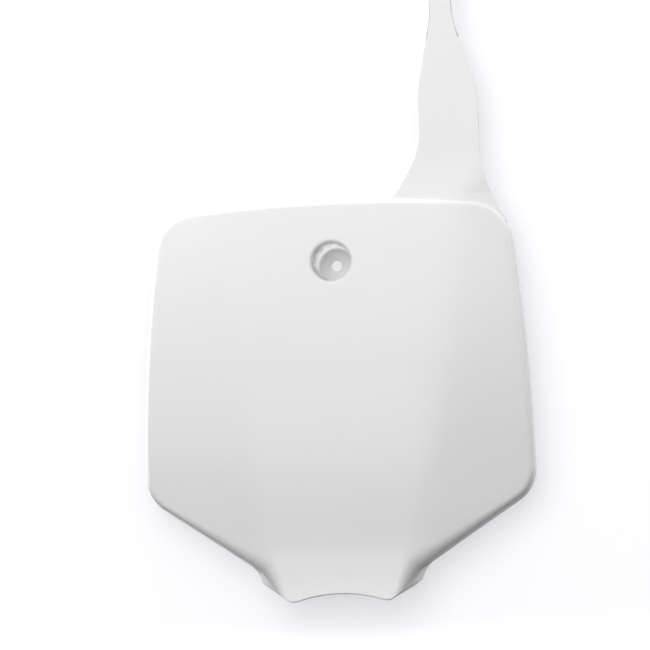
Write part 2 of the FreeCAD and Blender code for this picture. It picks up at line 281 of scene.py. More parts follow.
def top_corner():
    """Centre of the arc at the plate's top right corner."""
    top_centre = flat(0, TOP_Z - TOP_ARC_RADIUS)
    side_centre = flat(PLATE_WIDTH / 2 - SIDE_ARC_RADIUS, WIDEST_Z)
    return circles_meet(top_centre, TOP_ARC_RADIUS - TOP_CORNER_RADIUS,
                        side_centre, SIDE_ARC_RADIUS - TOP_CORNER_RADIUS)


def arc(centre, start, end):
    """A stretch of outline, as a function of a share from 0 to 1, along the shorter arc round a centre."""
    from_centre = start - centre
    turn = -from_centre.angle_signed(end - centre)

    def at(share):
        c, s = math.cos(turn * share), math.sin(turn * share)
        return centre + flat(from_centre.x * c - from_centre.y * s, from_centre.x * s + from_centre.y * c)
    return at


def line(start, end):
    return lambda share: start.lerp(end, share)


def half_outline(y, inset):
    """Right half of the edge wall's skin at a depth, or of a skin inset within it, from the top to the foot."""
    grow = (y - RIM_LEVEL) * SIDE_DRAFT - inset
    slant_grow = (y - RIM_LEVEL) * SLANT_DRAFT - inset
    face_level = face_y(0, FOOT_Z)
    flare = math.radians(NECK_FLARE_DEG)
    neck_grow = (y - face_level) * math.tan(flare) - inset / math.cos(flare)
    share = (y - face_level) / (REAR_Y - face_level)
    neck_radius = NECK_RADIUS + share * (NECK_REAR_RADIUS - NECK_RADIUS) + inset

    # Top arc, corner arc and side arc are tangent to each other
    top_centre = flat(0, TOP_Z - TOP_ARC_RADIUS)
    side_centre = flat(PLATE_WIDTH / 2 - SIDE_ARC_RADIUS, WIDEST_Z)
    corner = top_corner()
    corner_start = top_centre + (corner - top_centre).normalized() * (TOP_ARC_RADIUS + grow)
    corner_end = side_centre + (corner - side_centre).normalized() * (SIDE_ARC_RADIUS + grow)

    # The low corner touches the side arc and the straight slant
    slant_way = heading(180 + SLANT_DEG)
    slant_out = heading(SLANT_DEG - 90)
    slant_point = flat(PLATE_WIDTH / 2, SLANT_HEIGHT_AT_SIDE) + slant_out * slant_grow
    low_radius = LOW_CORNER_RADIUS + grow
    base = slant_point - slant_out * low_radius - side_centre
    half_b = base.dot(slant_way)
    root = math.sqrt(half_b ** 2 - base.dot(base) + (SIDE_ARC_RADIUS + grow - low_radius) ** 2)
    low_corner = side_centre + base + slant_way * min(root - half_b, -root - half_b, key=abs)
    low_start = side_centre + (low_corner - side_centre).normalized() * (SIDE_ARC_RADIUS + grow)
    low_end = low_corner + slant_out * low_radius

    # The neck's side leans inwards as it goes down, and an inside arc joins it to the slant
    neck_way = heading(270 - NECK_LEAN_DEG)
    neck_out = heading(-NECK_LEAN_DEG)
    neck_point = flat(NECK_HALF_WIDTH, FOOT_Z + NECK_RISE) + neck_out * neck_grow
    neck_corner = lines_meet(slant_point + slant_out * neck_radius, slant_way,
                             neck_point + neck_out * neck_radius, neck_way)
    neck_start = neck_corner - slant_out * neck_radius
    neck_end = neck_corner - neck_out * neck_radius
    past_foot = 0.02
    foot = lines_meet(neck_end, neck_way, flat(0, FOOT_Z - past_foot), flat(1, 0))
    return [
        arc(top_centre, flat(0, TOP_Z + grow), corner_start),
        arc(corner, corner_start, corner_end),
        arc(side_centre, corner_end, low_start),
        arc(low_corner, low_start, low_end),
        line(low_end, neck_start),
        arc(neck_corner, neck_start, neck_end),
        line(neck_end, foot),
    ]


class Skin:
    """One side of the sheet's right half: a face, its rounded edge and the drafted wall behind it.

    A station is the number of a stretch of the outline plus a share along it.
    """

    def __init__(self, sizes, inset):
        self.depth = inset
        self.radius = sizes.edge_radius - inset
        self.fold_radius = sizes.fold_radius - inset
        self.front = half_outline(FRONT_Y, inset)
        self.rear = half_outline(REAR_Y, inset)

    def wall_point(self, station, y):
        stretch = min(int(station), len(self.front) - 1)
        share = station - stretch
        a, b = self.front[stretch](share), self.rear[stretch](share)
        p = a.lerp(b, (y - FRONT_Y) / (REAR_Y - FRONT_Y))
        return Vector((p.x, y, p.y))

    def crossing(self, station, surface):
        """Where the wall's line at a station meets the surface y = surface(x, z)."""
        y = RIM_LEVEL
        for _ in range(CROSSING_STEPS):
            p = self.wall_point(station, y)
            y += SEARCH_STEP * (surface(p.x, p.z) - y)
        return self.wall_point(station, y)

    def face_at(self, x, z):
        return face_y(x, z) + self.depth

    def corner_frame(self, station):
        """The sharp corner of face and wall, the wall's normal there and its way out in the front view."""
        step = 1e-4
        edge = self.crossing(station, self.face_at)
        low = self.wall_point(max(station - step, 0.0), edge.y)
        high = self.wall_point(station + step, edge.y)
        ruling = self.wall_point(station, edge.y + RIM_DEPTH / 2) - edge
        normal = (high - low).cross(ruling).normalized()
        return edge, normal, Vector((normal.x, 0, normal.z)).normalized()

    def radius_at(self, station):
        """Radius of the edge's rounding, which opens out along the slant and closes again round the neck."""
        opened = eased(station - SLANT_STRETCH) * (1 - eased(station - NECK_STRETCH))
        return self.radius + (self.fold_radius - self.radius) * opened

    def rounding(self, station):
        """Centre of the edge's rounding, with the normals where it leaves the face and joins the wall."""
        edge, normal, out = self.corner_frame(station)
        back = radius = self.radius_at(station)
        for _ in range(ROUNDING_STEPS):
            p = edge - out * back
            face_way = face_normal(p.x, p.z)
            centre = Vector((p.x, self.face_at(p.x, p.z), p.z)) - face_way * radius
            back += (centre - edge).dot(normal) + radius
        return centre, face_way, normal

    def section(self, station):
        """Points from the end of the face round the edge and along the wall to the rim."""
        centre, face_way, normal = self.rounding(station)
        radius = self.radius_at(station)
        points = [centre + face_way.slerp(normal, i / ROUND_ROWS) * radius for i in range(ROUND_ROWS + 1)]

        # The wall leaves the rounding in the rounding's own direction
        rim = self.crossing(station, rim_y)
        start = points[-1]
        onward = (normal * face_way.dot(normal) - face_way).normalized()
        bend = start + onward * (rim - start).length / 2
        for i in range(1, WALL_ROWS + 1):
            share = i / WALL_ROWS
            points.append(start.lerp(bend, share).lerp(bend.lerp(rim, share), share))
        return points

    def foot_station(self, row):
        """The station at which a row of the section runs into the foot's cut."""
        low, high = NECK_STRETCH, len(self.front) - 0.1
        for _ in range(FOOT_HALVINGS):
            middle = (low + high) / 2
            if above_foot(self.section(middle)[row]) > 0:
                low = middle
            else:
                high = middle
        return low

    def wall_columns(self):
        """Sections along the right half: even ones to the neck, then ones that fan out to the foot's cut."""
        columns = []
        for stretch, count in enumerate(OUTLINE_COLUMNS):
            columns += [self.section(stretch + i / count) for i in range(count)]
        ends = [self.foot_station(row) for row in range(ROUND_ROWS + WALL_ROWS + 1)]
        for i in range(NECK_COLUMNS + 1):
            stations = [NECK_STRETCH + (end - NECK_STRETCH) * i / NECK_COLUMNS for end in ends]
            columns.append([self.section(station)[row] for row, station in enumerate(stations)])
        return columns

    def foot_point(self, x):
        """The face's edge at the foot's cut."""
        z = FOOT_Z
        for _ in range(FOOT_STEPS):
            cut = (self.face_at(x, z) - face_y(0, FOOT_Z)) * FOOT_CUT_SLOPE
            z += SEARCH_STEP * (foot_height(x) - cut - z)
        return Vector((x, self.face_at(x, z), z))

    def arch_columns(self, start_x):
        """The face's edge from the end of the wall round the right toe to the middle of the arch."""
        climb = math.radians(FOOT_CLIMB_DEG)
        least_gap = 0.0006
        toe_end = min(TOE_HALF_WIDTH + TOE_RADIUS * math.sin(climb), start_x - least_gap)
        toe_start = TOE_HALF_WIDTH * ARCH_RADIUS / (ARCH_RADIUS + TOE_RADIUS)
        stops = [start_x + (toe_end - start_x) * share for share in (1 / 3, 2 / 3, 1)]
        stops += [toe_end + (toe_start - toe_end) * (i + 1) / TOE_COLUMNS for i in range(TOE_COLUMNS)]
        stops += [toe_start * (1 - (i + 1) / ARCH_COLUMNS) for i in range(ARCH_COLUMNS)]
        return [self.foot_point(x) for x in stops]

    def ring(self):
        """Every column's section, clockwise from the top's middle. A column of the arch has one point."""
        right = self.wall_columns()
        right += [[p] for p in self.arch_columns(right[-1][0].x)]
        left = [[Vector((-p.x, p.y, p.z)) for p in column] for column in right[-2:0:-1]]
        return right + left


# Meshes

def add_object(name, data):
    """A new object in the scene."""
    thing = bpy.data.objects.new(name, data)
    bpy.context.collection.objects.link(thing)
    return thing


def make_piece(name, mesh, materials):
    """A finished object from a bmesh, at the origin and smooth-shaded."""
    for face in mesh.faces:
        face.smooth = True
    data = bpy.data.meshes.new(name)
    mesh.to_mesh(data)
    mesh.free()
    for material in materials:
        data.materials.append(material)
    return add_object(name, data)


def outward(mesh):
    """Turn the faces of a closed mesh to the outside."""
    bmesh.ops.recalc_face_normals(mesh, faces=mesh.faces)
    return mesh


def soften(piece, width, segments=3):
    """Round the sharp rims, with the broad faces kept flat in the shading."""
    bevel = piece.modifiers.new("Softened rims", "BEVEL")
    bevel.width = width
    bevel.segments = segments
    bevel.limit_method = "ANGLE"
    bevel.angle_limit = math.radians(48)
    bevel.use_clamp_overlap = False
    bevel.harden_normals = True


def declare(piece):
    """The piece rides on the plate's body and stands in for its solid, which is hidden."""
    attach(piece, "root")
    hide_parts("number_plate")


def round_points(across, along, radius, start, end, steps):
    """Points (across, along) on an arc round a centre between two angles in degrees, without the first one."""
    turns = [math.radians(start + (end - start) * i / steps) for i in range(1, steps + 1)]
    return [(across + radius * math.cos(turn), along + radius * math.sin(turn)) for turn in turns]


def cup_radius(y):
    return CUP_RADIUS - (y - FACE_Y_AT_CUP) * CUP_DRAFT


def on_face(direction, radius, depth):
    x, z = direction.x * radius, direction.y * radius
    return Vector((x, face_y(x, z) + depth, z))


def cup_lip(direction, lip_radius, rows):
    """Points round the cup's lip in one direction, from the cup's wall to the face."""
    out = Vector((direction.x, 0, direction.y))
    radius = CUP_RADIUS + lip_radius
    for _ in range(ROUNDING_STEPS):
        start = on_face(direction, radius, 0)
        face_way = face_normal(start.x, start.z)
        centre = start - face_way * lip_radius
        radius += cup_radius(centre.y) + lip_radius - centre.dot(out)
    wall_way = Vector((-out.x, -CUP_DRAFT, -out.z)).normalized()
    return [centre + wall_way.slerp(face_way, i / rows) * lip_radius for i in range(rows + 1)], radius


def face_points(edge, start, rows, depth):
    """Points along the face, or at a depth behind it, between a distance from the bolt hole and the edge."""
    reach = flat(edge.x, edge.z)
    radii = [start + (reach.length - start) * i / rows for i in range(1, rows)]
    return [on_face(reach.normalized(), radius, depth) for radius in radii]


def front_column(edge, sizes):
    """Points from the bolt hole's front rim up the cup, over its lip and along the face to the edge."""
    direction = flat(edge.x, edge.z).normalized()
    corner = sizes.floor_radius
    flat_radius = cup_radius(-CUP_FLOOR - corner) - corner
    floor = flat_radius - BOLT_HOLE_RADIUS
    profile = [(BOLT_HOLE_RADIUS + floor * i / FLOOR_STEPS, -CUP_FLOOR) for i in range(FLOOR_STEPS + 1)]
    profile += round_points(flat_radius, -CUP_FLOOR - corner, corner, 90, 0, CORNER_STEPS)
    points = [Vector((direction.x * radius, y, direction.y * radius)) for radius, y in profile]
    lip, start = cup_lip(direction, sizes.lip_radius, LIP_STEPS)
    wall_start = points[-1]
    points += [wall_start.lerp(lip[0], i / CUP_WALL_STEPS) for i in range(1, CUP_WALL_STEPS)]
    return points + lip + face_points(edge, start, sizes.face_rows, 0)


def back_column(edge, sizes):
    """Points from the bolt hole's rear rim over the seat, up the cup's outside and along the face's back."""
    direction = flat(edge.x, edge.z).normalized()
    seat = cup_radius(-CUP_FLOOR) + CUP_WALL - BOLT_HOLE_RADIUS
    radii = [BOLT_HOLE_RADIUS + seat * i / FLOOR_STEPS for i in range(FLOOR_STEPS + 1)]
    points = [Vector((direction.x * radius, 0, direction.y * radius)) for radius in radii]
    root_radius = CUP_RADIUS + CUP_WALL
    root = on_face(direction, root_radius, sizes.wall)
    seat_edge = points[-1]
    points += [seat_edge.lerp(root, i / CUP_BACK_STEPS) for i in range(1, CUP_BACK_STEPS + 1)]
    return points + face_points(edge, root_radius, sizes.face_rows // 2, sizes.wall)


def add_strip(mesh, first, second, material):
    """Quads between two rows of vertices, as far as the shorter one goes."""
    for i in range(min(len(first), len(second)) - 1):
        face = mesh.faces.new((first[i], first[i + 1], second[i + 1], second[i]))
        face.material_index = material


def shell_mesh(sizes):
    """The pan: front skin, back skin, the rim between them and the bolt cup, as one closed shell."""
    outer = Skin(sizes, 0.0).ring()
    inner = Skin(sizes, sizes.wall).ring()
    mesh = bmesh.new()
    fronts, backs, front_ends, back_ends = [], [], [], []
    for out_column, in_column in zip(outer, inner):
        front = front_column(out_column[0], sizes) + out_column
        back = back_column(in_column[0], sizes) + in_column
        fronts.append([mesh.verts.new(p) for p in front])
        backs.append([mesh.verts.new(p) for p in back])
        front_ends.append(len(front) - len(out_column))
        back_ends.append(len(back) - len(in_column))

    gloss, satin, cup = 0, 1, 2
    floor_end, cup_end = CUP_FLOOR_POINTS - 1, CUP_POINTS - 1
    # The cup's wall and lip take the cup material, painted lighter than the front as painted light
    cup_bands = ((0, CUP_FLOOR_POINTS, gloss), (floor_end, CUP_POINTS, cup), (cup_end, None, gloss))
    for i in range(len(outer)):
        j = (i + 1) % len(outer)
        for start, end, finish in cup_bands:
            add_strip(mesh, fronts[i][start:end], fronts[j][start:end], finish)
        add_strip(mesh, backs[i], backs[j], satin)
        mesh.faces.new((fronts[i][0], fronts[j][0], backs[j][0], backs[i][0]))

        # Across the rim, or across the foot's cut where either column ends at the face
        same = len(outer[i]) == len(outer[j])
        front_i, front_j = [fronts[k][-1 if same else front_ends[k]] for k in (i, j)]
        back_i, back_j = [backs[k][-1 if same else back_ends[k]] for k in (i, j)]
        mesh.faces.new((front_i, front_j, back_j, back_i))
        if not same:
            long = i if len(outer[i]) > len(outer[j]) else j
            add_strip(mesh, fronts[long][front_ends[long]:], backs[long][back_ends[long]:], gloss)
    return mesh


# Strap

def rounded_path(corners, step):
    """Points along an open path of (x, z, radius) corners whose bends are tangent arcs."""
    points = [flat(x, z) for x, z, radius in corners]
    path = [points[0]]
    for i in range(1, len(points) - 1):
        back = (points[i - 1] - points[i]).normalized()
        ahead = (points[i + 1] - points[i]).normalized()
        half = back.angle(ahead) / 2
        radius = corners[i][2]
        centre = points[i] + (back + ahead).normalized() * (radius / math.sin(half))
        start = points[i] + back * (radius / math.tan(half))
        bend = arc(centre, start, points[i] + ahead * (radius / math.tan(half)))
        count = max(4, int(radius * (math.pi - 2 * half) / step))
        path += straight(path[-1], start, step) + [bend(k / count) for k in range(1, count + 1)]
    return path + straight(path[-1], points[-1], step)


def straight(start, end, step):
    count = max(1, int((end - start).length / step))
    return [start.lerp(end, k / count) for k in range(1, count + 1)]


def blend_min(a, b, softness):
    """The smaller of two values, with a soft change from one to the other."""
    overlap = max(0.0, softness - abs(a - b))
    return min(a, b) - overlap ** 2 / (4 * softness)


def strap_y(sizes, x, z):
    """Y of the strap's front: a plane whose foot leans forward but stays behind the face's rounded edge."""
    plane = face_y(STRAP_BODY_X, TOP_Z) + STRAP_SETBACK
    lean = max(0.0, TOP_Z + STRAP_LEAN_RISE - z) ** 2 / (2 * STRAP_LEAN_RADIUS)
    dip = sizes.edge_radius * (1 - math.cos(math.radians(STRAP_RAMP_DEG)))
    edge = face_y(x, min(z, TOP_Z)) + dip
    softness = 0.001
    return -blend_min(lean - plane, -edge, softness)


class StrapRoot:
    """The strap's surface near the plate: the face's rounded edge runs on as a ramp that ends in the strap's front.

    A place is given by a station along the plate's outline and the distance out from its sharp corner.
    """

    def __init__(self, sizes):
        self.sizes = sizes
        self.skin = Skin(sizes, 0.0)
        self.cache = {}

    def frame_at(self, station):
        key = round(station, 7)
        if key not in self.cache:
            edge, _, out = self.skin.corner_frame(station)
            centre = self.skin.rounding(station)[0]
            self.cache[key] = (edge, out, (centre - edge).dot(out), centre.y)
        return self.cache[key]

    def place(self, station, distance):
        edge, out, _, _ = self.frame_at(station)
        p = edge + out * distance
        return flat(p.x, p.z)

    def find(self, point):
        """Station and distance of a point in the front view."""
        top_end = 1.999
        low, high = 0.0, top_end
        for _ in range(STATION_HALVINGS):
            middle = (low + high) / 2
            edge, out, _, _ = self.frame_at(middle)
            ahead = flat(out.z, -out.x)
            if (point - flat(edge.x, edge.z)).dot(ahead) > 0:
                low = middle
            else:
                high = middle
        edge, out, _, _ = self.frame_at(low)
        return low, (point - flat(edge.x, edge.z)).dot(flat(out.x, out.z))

    def distance(self, point):
        return self.find(point)[1]

    def height(self, station, distance):
        """Y of the strap's front."""
        _, _, centre_n, centre_y = self.frame_at(station)
        radius = self.skin.radius
        slope = math.radians(STRAP_RAMP_DEG)
        start_n, start_y = centre_n + radius * math.sin(slope), centre_y - radius * math.cos(slope)
        past = distance - start_n
        if past < 0:
            # Inside the plate the strap sinks away from the rounded edge
            sunk = -0.6 * past
            return centre_y - math.sqrt(max(0.0, radius ** 2 - (distance - centre_n) ** 2)) + sunk
        p = self.place(station, distance)
        hollow = min(self.sizes.root_hollow, past) + 1e-6
        return blend_min(start_y + past * math.tan(slope), strap_y(self.sizes, p.x, p.y), hollow)


def strap_sides(step):
    """The strap's left and right edges in the front view, from the plate up to the row of holes."""
    body_left = STRAP_BODY_X - STRAP_BODY_WIDTH / 2
    body_right = STRAP_BODY_X + STRAP_BODY_WIDTH / 2
    tail_left = STRAP_TAIL_X - STRAP_TAIL_WIDTH / 2
    tail_right = STRAP_TAIL_X + STRAP_TAIL_WIDTH / 2
    clear = 0.0004
    touch = top_corner() + heading(90 - STRAP_SHOULDER_DEG) * (TOP_CORNER_RADIUS + clear)
    shoulder_z = touch.y + (touch.x - body_right) * math.tan(math.radians(STRAP_SHOULDER_DEG))
    taper_z, tail_z = TOP_Z + STRAP_TAPER_RISE, TOP_Z + STRAP_TAIL_RISE
    body_z = TOP_Z + STRAP_BODY_RISE

    # The left edge starts inside the plate, under its top edge
    run_in, start_sunk, root_sunk = 0.03, 0.0015, 0.0005
    left = rounded_path([
        (STRAP_ROOT_X - run_in, TOP_Z - start_sunk, 0),
        (STRAP_ROOT_X, TOP_Z - root_sunk, STRAP_ROOT_RADIUS),
        (body_left, body_z, STRAP_BEND_RADIUS * 0.7),
        (body_left, taper_z, STRAP_BEND_RADIUS),
        (tail_left, tail_z, STRAP_BEND_RADIUS),
        (tail_left, STRAP_TIP_Z, 0),
    ], step)
    right = rounded_path([
        (touch.x, touch.y, 0),
        (body_right, shoulder_z, STRAP_BEND_RADIUS),
        (body_right, taper_z, STRAP_BEND_RADIUS),
        (tail_right, tail_z, STRAP_BEND_RADIUS),
        (tail_right, STRAP_TIP_Z, 0),
    ], step)
    return left, right


def along_path(path, measure, level):
    """The point of a path at which a rising measure reaches a level."""
    for a, b in zip(path, path[1:]):
        low, high = measure(a), measure(b)
        if low <= level <= high:
            return a.lerp(b, (level - low) / max(high - low, 1e-12))
    raise ValueError("The strap's edge never reaches that level")


def ramp_rows(root, paths, shares):
    """Rows that keep a distance from the plate's edge, over the ramp."""
    rows = []
    level = RAMP_START
    while level < RAMP_END:
        ends = []
        for path in paths:
            station, distance = root.find(path[0])
            if level > distance:
                station = root.find(along_path(path, root.distance, level))[0]
            ends.append(station)
        row = []
        for share in shares:
            station = ends[0] + (ends[1] - ends[0]) * share
            p = root.place(station, level)
            row.append(Vector((p.x, root.height(station, level), p.y)))
        rows.append(row)
        level += RAMP_STEP_IN if level < 0.0 else RAMP_STEP_OUT
    return rows


def height_of(point):
    return point.y


def easing_rows(root, paths, shares, top_z):
    """Rows that even out from the plate's curve to straight ones across the strap."""
    starts = [along_path(path, root.distance, RAMP_END).y for path in paths]
    rows = []
    for i in range(EASING_ROWS):
        up = i / EASING_ROWS
        a, b = [along_path(path, height_of, start + (top_z - start) * up) for path, start in zip(paths, starts)]
        (station_a, out_a), (station_b, out_b) = root.find(a), root.find(b)
        even = eased(up * 1.5)
        row = []
        for share in shares:
            curved = root.place(station_a + (station_b - station_a) * share, out_a + (out_b - out_a) * share)
            p = curved.lerp(a.lerp(b, share), even)
            row.append(Vector((p.x, strap_y(root.sizes, p.x, p.y), p.y)))
        rows.append(row)
    return rows


def level_rows(sizes, paths, shares, low_z):
    """Level rows, up to below the holes."""
    holes_z = STRAP_TIP_Z - STRAP_HOLE_EDGE - (STRAP_HOLES - 0.5) * STRAP_HOLE_PITCH
    rows = []
    for i in range(UPPER_ROWS + 1):
        z = low_z + (holes_z - low_z) * i / UPPER_ROWS
        a, b = [along_path(path, height_of, z).x for path in paths]
        across = [a + (b - a) * share for share in shares]
        rows.append([Vector((x, strap_y(sizes, x, z), z)) for x in across])
    return rows


def strap_rows(sizes):
    """Rows of points over the strap's front, from inside the plate's edge to below its holes."""
    path_step, least_distance = 0.0006, 0.0005
    root = StrapRoot(sizes)
    left, right = strap_sides(path_step)
    first = next(i for i, p in enumerate(left) if root.distance(p) > least_distance)
    paths = (left[first:], right)
    shares = [i / sizes.strap_columns for i in range(sizes.strap_columns + 1)]
    level_z = TOP_Z + STRAP_TAPER_RISE * 0.8
    rows = ramp_rows(root, paths, shares) + easing_rows(root, paths, shares, level_z)
    return rows + level_rows(sizes, paths, shares, level_z)


def hole_cell(low_z, high_z, columns, sides):
    """Points round one cell of the strap's tail: along its bottom, up its right side, over and down again."""
    half = STRAP_TAIL_WIDTH / 2
    is_tip = high_z > STRAP_TIP_Z - half
    side_top = STRAP_TIP_Z - half if is_tip else high_z
    points = [flat(-half + 2 * half * i / columns, low_z) for i in range(columns)]
    points += [flat(half, low_z + (side_top - low_z) * i / sides) for i in range(sides)]
    for i in range(columns):
        if is_tip:
            turn = math.pi * i / columns
            points.append(flat(half * math.cos(turn), side_top + half * math.sin(turn)))
        else:
            points.append(flat(half - 2 * half * i / columns, high_z))
    points += [flat(-half, side_top - (side_top - low_z) * i / sides) for i in range(sides)]
    return points


def strap_mesh(sizes):
    """The strap as one closed sheet with its row of holes."""
    mesh = bmesh.new()
    rows = strap_rows(sizes)
    vert_rows = [[mesh.verts.new(p) for p in row] for row in rows]
    for a, b in zip(vert_rows, vert_rows[1:]):
        add_strip(mesh, a, b, 0)

    for left_over in reversed(range(STRAP_HOLES)):
        middle = flat(0, STRAP_TIP_Z - STRAP_HOLE_EDGE - left_over * STRAP_HOLE_PITCH)
        half_pitch = STRAP_HOLE_PITCH / 2
        high_z = middle.y + half_pitch if left_over else STRAP_TIP_Z
        cell = hole_cell(middle.y - half_pitch, high_z, sizes.strap_columns, HOLE_SIDE_STEPS)
        rings = []
        for k in range(HOLE_RINGS + 1):
            ring = []
            for p in cell:
                rim = (p - middle).normalized() * STRAP_HOLE_RADIUS + middle
                q = rim.lerp(p, k / HOLE_RINGS)
                x = STRAP_TAIL_X + q.x
                ring.append(mesh.verts.new((x, strap_y(sizes, x, q.y), q.y)))
            rings.append(ring + ring[:1])
        for a, b in zip(rings, rings[1:]):
            add_strip(mesh, a, b, 0)
    bmesh.ops.remove_doubles(mesh, verts=mesh.verts, dist=1e-6)

    back = bmesh.ops.extrude_face_region(mesh, geom=mesh.faces[:], use_keep_orig=True)
    for item in back["geom"]:
        if isinstance(item, bmesh.types.BMVert):
            item.co.y = strap_y(sizes, item.co.x, item.co.z) + sizes.strap_thickness
        elif isinstance(item, bmesh.types.BMFace):
            item.material_index = 1
    return mesh


# Node trees

def fill(tree, node, sources):
    """Give each named or numbered input of a node its link or its fixed value."""
    for key, source in sources.items():
        if isinstance(source, bpy.types.NodeSocket):
            tree.links.new(source, node.inputs[key])
        else:
            node.inputs[key].default_value = source


def add_node(tree, kind, sources=None, **settings):
    """A new node with its settings and its inputs."""
    node = tree.nodes.new(kind)
    for name, value in settings.items():
        setattr(node, name, value)
    fill(tree, node, sources or {})
    return node


def maths(tree, operation, *sources):
    """Result of a new maths node."""
    return add_node(tree, "ShaderNodeMath", dict(enumerate(sources)), operation=operation).outputs[0]


def new_tree(name, kind, inputs, outputs):
    """A node tree with its sockets, what it is given and what it makes."""
    tree = bpy.data.node_groups.new(name, kind)
    for way, sockets in (("INPUT", inputs), ("OUTPUT", outputs)):
        for socket, form in sockets.items():
            tree.interface.new_socket(socket, in_out=way, socket_type="NodeSocket" + form)
    return tree, tree.nodes.new("NodeGroupInput").outputs, tree.nodes.new("NodeGroupOutput").inputs


# Button and webs

def lathe_mesh(profile, centre, segments):
    """A closed solid turned about a line along Y: profile is (radius, y) from the front pole to the back pole."""
    mesh = bmesh.new()
    rings = []
    for radius, y in profile:
        if radius == 0:
            rings.append([mesh.verts.new((centre.x, y, centre.y))] * segments)
            continue
        turns = [2 * math.pi * i / segments for i in range(segments)]
        rings.append([mesh.verts.new((centre.x + radius * math.cos(t), y, centre.y + radius * math.sin(t)))
                      for t in turns])
    for a, b in zip(rings, rings[1:]):
        for i in range(segments):
            corners = [a[i], a[i - 1], b[i - 1], b[i]]
            mesh.faces.new(list(dict.fromkeys(corners)))
    return mesh


def button_profile(sizes):
    """Half section of the button: a filleted stem and a domed head with a round edge."""
    foot_z = TOP_Z - BUTTON_DROP
    start = face_y(BUTTON_X, foot_z) + sizes.wall * 0.6
    sheet = face_y(BUTTON_X, foot_z) + sizes.wall
    head = rim_y(BUTTON_X, TOP_Z) + sizes.strap_thickness + BUTTON_PLAY
    end = head + BUTTON_HEAD_THICKNESS
    fillet, chamfer = 0.0012, 0.0004
    profile = [(0, start), (BUTTON_STEM_RADIUS + fillet, start), (BUTTON_STEM_RADIUS + fillet, sheet)]
    profile += round_points(BUTTON_STEM_RADIUS + fillet, sheet + fillet, fillet, 270, 180, 5)
    profile += [(BUTTON_STEM_RADIUS, head - chamfer), (BUTTON_STEM_RADIUS + chamfer, head)]
    edge = BUTTON_HEAD_THICKNESS * 0.4
    profile.append((BUTTON_HEAD_RADIUS - edge, head))
    profile += round_points(BUTTON_HEAD_RADIUS - edge, head + edge, edge, -90, 90, 6)
    dome = end - profile[-1][1]
    for share in (0.8, 0.6, 0.4, 0.2):
        radius = (BUTTON_HEAD_RADIUS - edge) * share
        profile.append((radius, end - dome * share ** 2))
    return profile + [(0, end)]


def web_mesh(sizes):
    """One web that stands between the cup and the sheet, along +X, with a rounded free edge."""
    near = CUP_RADIUS + CUP_WALL / 2
    far = CUP_RADIUS + CUP_WALL + sizes.web_reach
    foot = FACE_Y_AT_CUP + sizes.wall / 2
    free = [Vector((far, foot + sizes.wall)), Vector((near, -CUP_DEPTH / 3))]
    inward = Vector((free[1].y - free[0].y, free[0].x - free[1].x)).normalized()
    half = sizes.web_thickness / 2
    mesh = bmesh.new()
    rows = [[Vector((far, foot)), Vector((near, foot))]]
    widths = [half]
    for i in range(7):
        turn = math.radians(30 * i)
        widths.append(half * math.cos(turn))
        rows.append([p + inward * (half * (1 - math.sin(turn))) for p in free])
    rows.append(rows[0])
    widths.append(-half)
    verts = [[mesh.verts.new((p.x, p.y, width)) for p in row] for row, width in zip(rows, widths)]
    steps = 6
    grid = []
    for a, b in verts:
        inner = [mesh.verts.new(a.co.lerp(b.co, k / steps)) for k in range(1, steps)]
        grid.append([a] + inner + [b])
    for a, b in zip(grid, grid[1:] + grid[:1]):
        add_strip(mesh, a, b, 0)
    mesh.faces.new([row[0] for row in grid])
    mesh.faces.new([row[-1] for row in grid])
    return mesh


def webs_tree(material):
    """Node tree that repeats one web round the cup and shifts each with the slope of the crowned sheet."""
    tree, given, made = new_tree(
        "Webs round the cup", "GeometryNodeTree",
        {"Web": "Geometry", "Count": "Int", "First Angle": "Float", "Crown Slope": "Float"}, {"Webs": "Geometry"})
    points = add_node(tree, "GeometryNodePoints", {"Count": given["Count"]})
    index = add_node(tree, "GeometryNodeInputIndex")
    share = maths(tree, "DIVIDE", index.outputs[0], given["Count"])
    turn = maths(tree, "MULTIPLY_ADD", share, 2 * math.pi, given["First Angle"])
    rotation = add_node(tree, "ShaderNodeCombineXYZ", {"Y": turn})
    copies = add_node(tree, "GeometryNodeInstanceOnPoints", {
        "Points": points.outputs[0], "Instance": given["Web"], "Rotation": rotation.outputs[0]})
    realize = add_node(tree, "GeometryNodeRealizeInstances", {0: copies.outputs[0]})

    place = add_node(tree, "GeometryNodeInputPosition")
    axes = add_node(tree, "ShaderNodeSeparateXYZ", {0: place.outputs[0]})
    rise = maths(tree, "MULTIPLY", axes.outputs["Z"], given["Crown Slope"])
    offset = add_node(tree, "ShaderNodeCombineXYZ", {"Y": rise})
    shift = add_node(tree, "GeometryNodeSetPosition", {"Geometry": realize.outputs[0], "Offset": offset.outputs[0]})
    paint = add_node(tree, "GeometryNodeSetMaterial", {"Geometry": shift.outputs[0], "Material": material})
    tree.links.new(paint.outputs[0], made["Webs"])
    return tree


def apply_tree(piece, tree, values):
    """Run a node tree on a piece with the given inputs and keep the result as its plain mesh."""
    modifier = piece.modifiers.new(tree.name, "NODES")
    modifier.node_group = tree
    for item in tree.interface.items_tree:
        if item.in_out == "INPUT" and item.name in values:
            modifier[item.identifier] = values[item.name]
    graph = bpy.context.evaluated_depsgraph_get()
    result = bpy.data.meshes.new_from_object(piece.evaluated_get(graph), depsgraph=graph)
    piece.modifiers.remove(modifier)
    piece.data = result


# Finish

